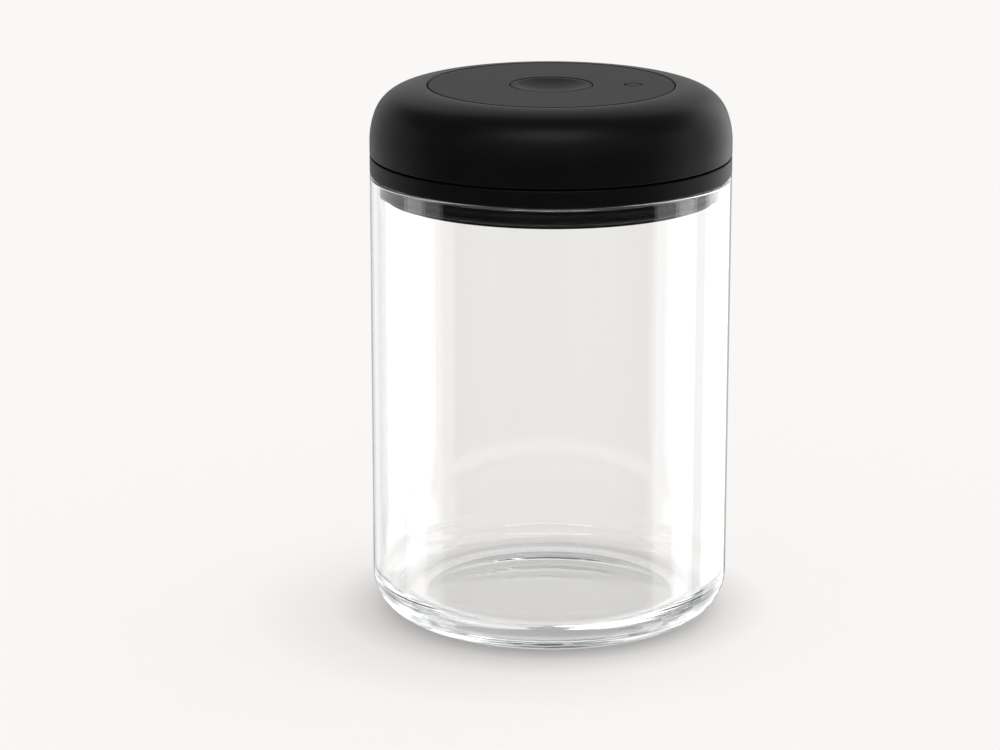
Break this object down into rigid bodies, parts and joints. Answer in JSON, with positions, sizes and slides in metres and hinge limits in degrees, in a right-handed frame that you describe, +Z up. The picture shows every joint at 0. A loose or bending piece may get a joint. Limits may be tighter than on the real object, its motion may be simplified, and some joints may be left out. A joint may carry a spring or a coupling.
{
  "type": "vacuum food canister",
  "caption": "clear glass food canister with a matte black lid whose dome cap turns to pump air out, with a round release button and a vacuum indicator",
  "frame": {"origin": "centre of the jar's foot, on the surface that it stands on", "axes": "+Z up along the jar's axis, +X towards the indicator, -Y towards the viewer of the picture"},
  "size_m": [0.12, 0.12, 0.1795],
  "materials": {
    "clear_glass": "clear pressed soda glass, polished",
    "black_shell": "fine matte black moulding",
    "black_moulding": "plain black moulding",
    "grey_moulding": "unpainted grey engineering plastic",
    "white_acetal": "slippery white acetal",
    "black_silicone": "soft black silicone",
    "grey_silicone": "soft translucent grey silicone",
    "steel": "stainless steel",
    "green_plastic": "green signal ring",
    "felt": "pressed filter felt"
  },
  "bodies": {
    "jar": {"glass_jar": "clear_glass"},
    "lid": {"lid_base": "black_shell", "jar_gasket": "black_silicone", "base_cover": "black_moulding", "filter_disc": "felt", "inlet_valve": "grey_silicone", "pump_barrel": "grey_moulding", "barrel_seal": "black_silicone", "glide_ring": "white_acetal", "top_disc": "black_shell", "indicator_housing": "grey_moulding", "indicator_sleeve": "green_plastic", "indicator_spring": "steel", "button_spring": "steel", "cover_screws": "steel", "barrel_screws": "steel", "disc_screws": "steel"},
    "cap": {"turning_cap": "black_shell", "cam_ring": "grey_moulding", "cam_screws": "steel"},
    "piston": {"pump_piston": "grey_moulding", "piston_outer_seal": "black_silicone", "piston_inner_seal": "black_silicone", "outlet_valve": "grey_silicone", "follower_pins": "steel", "follower_rollers": "white_acetal"},
    "button": {"release_button": "black_shell", "release_stem": "white_acetal", "release_seal": "grey_silicone", "seal_retainer": "black_moulding", "stem_clip": "steel"},
    "indicator": {"indicator_pin": "black_shell", "indicator_seal": "black_silicone"}
  },
  "joints": [
    {"name": "lid_lift", "type": "slide", "parent": "jar", "child": "lid", "axis": [0, 0, 1], "range_m": [0, 0.1]},
    {"name": "cap_twist", "type": "hinge", "parent": "lid", "child": "cap", "pos_m": [0, 0, 0.168], "axis": [0, 0, 1], "range_deg": [0, 90]},
    {"name": "pump_stroke", "type": "slide", "parent": "lid", "child": "piston", "axis": [0, 0, 1], "range_m": [0, 0.006]},
    {"name": "button_press", "type": "slide", "parent": "lid", "child": "button", "axis": [0, 0, -1], "range_m": [0, 0.0018], "stiffness_N_per_m": 400, "springref_m": -0.003, "deforming": ["button_spring"]},
    {"name": "indicator_drop", "type": "slide", "parent": "lid", "child": "indicator", "axis": [0, 0, -1], "range_m": [0, 0.002], "stiffness_N_per_m": 120, "springref_m": -0.002, "deforming": ["indicator_spring"]}
  ],
  "couplings": [
    {"joint": "pump_stroke", "follows": "cap_twist", "m_per_rad": 0.0038197}
  ]
}
